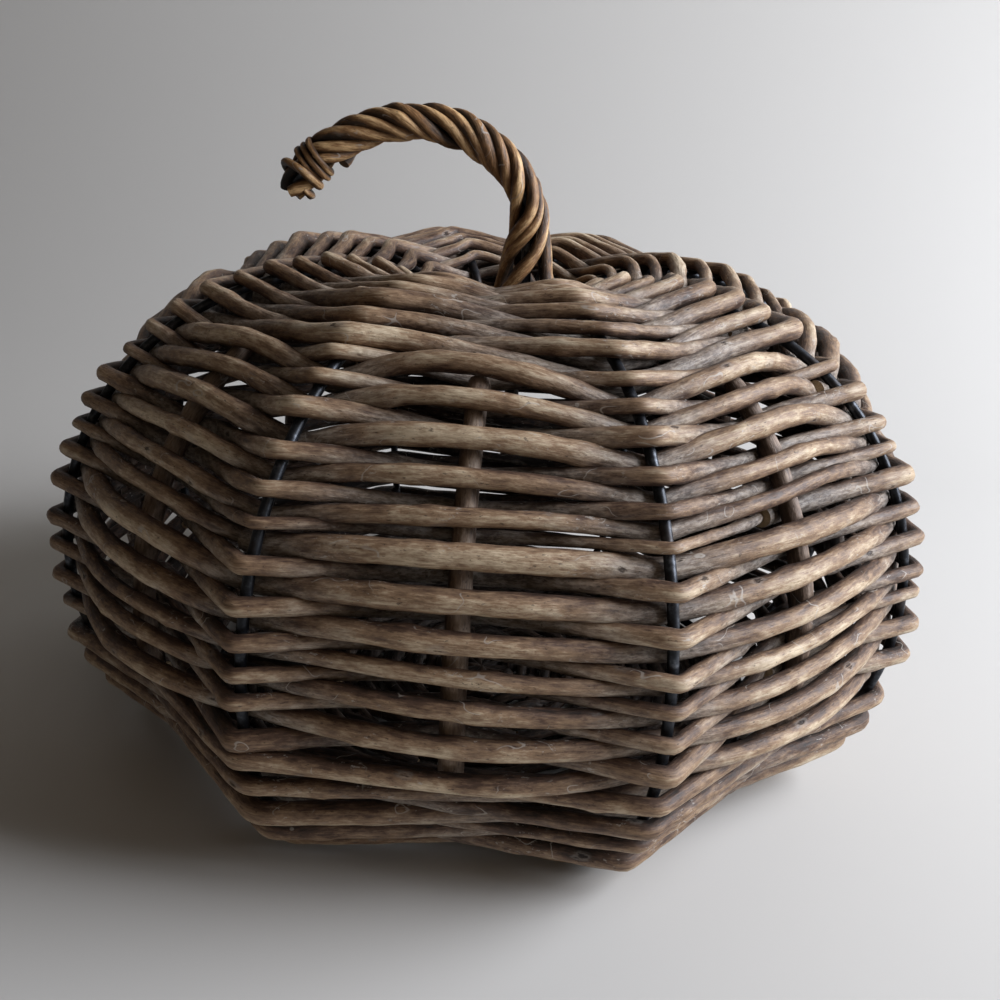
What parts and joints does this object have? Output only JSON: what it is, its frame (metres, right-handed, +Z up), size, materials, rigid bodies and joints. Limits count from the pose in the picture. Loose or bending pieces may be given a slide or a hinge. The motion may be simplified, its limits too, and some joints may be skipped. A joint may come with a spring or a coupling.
{
  "type": "woven willow pumpkin",
  "caption": "Closed hollow pumpkin woven from willow rods over steel ribs, standing on a woven base, with a curled stem of twisted rods on top.",
  "frame": {"origin": "middle of the woven base's underside, on the surface where the pumpkin stands", "axes": "+Z up, front towards -Y, the stem curls over towards -X; the steel ribs stand at 22.5 degrees and every 45 degrees on from -Y"},
  "size_m": [0.3547, 0.3549, 0.2623],
  "materials": {
    "willow": "unpeeled weathered willow, matt with a dull sheen",
    "stake_willow": "unpeeled dark willow, matt",
    "stem_willow": "unpeeled golden brown willow, dull sheen",
    "dark_steel": "blue black steel rod, satin"
  },
  "bodies": {
    "root": {"steel_rib_1": "dark_steel", "willow_stake_1": "stake_willow", "steel_rib_2": "dark_steel", "willow_stake_2": "stake_willow", "steel_rib_3": "dark_steel", "willow_stake_3": "stake_willow", "steel_rib_4": "dark_steel", "willow_stake_4": "stake_willow", "steel_rib_5": "dark_steel", "willow_stake_5": "stake_willow", "steel_rib_6": "dark_steel", "willow_stake_6": "stake_willow", "steel_rib_7": "dark_steel", "willow_stake_7": "stake_willow", "steel_rib_8": "dark_steel", "willow_stake_8": "stake_willow", "weaver_row_01": "willow", "weaver_row_02": "willow", "weaver_row_03": "willow", "weaver_row_04": "willow", "weaver_row_05": "willow", "weaver_row_06": "willow", "weaver_row_07": "willow", "weaver_row_08": "willow", "weaver_row_09": "willow", "weaver_row_10": "willow", "weaver_row_11": "willow", "weaver_row_12": "willow", "weaver_row_13": "willow", "weaver_row_14": "willow", "weaver_row_15": "willow", "weaver_row_16": "willow", "weaver_row_17": "willow", "weaver_row_18": "willow", "weaver_row_19": "willow", "weaver_row_20": "willow", "weaver_row_21": "willow", "weaver_row_22": "willow", "weaver_row_23": "willow", "weaver_row_24": "willow", "weaver_row_25": "willow", "weaver_row_26": "willow", "weaver_row_27": "willow", "weaver_row_28": "willow", "weaver_row_29": "willow", "weaver_row_30": "willow", "weaver_row_31": "willow", "weaver_row_32": "willow", "weaver_row_33": "willow", "base_hoop": "dark_steel", "woven_base": "willow", "top_ring": "dark_steel", "stem_core": "dark_steel", "stem_strand_1": "stem_willow", "stem_strand_2": "stem_willow", "stem_strand_3": "stem_willow", "stem_strand_4": "stem_willow", "stem_strand_5": "stem_willow", "stem_strand_6": "stem_willow", "stem_tip_binding": "stem_willow"}
  },
  "joints": []
}
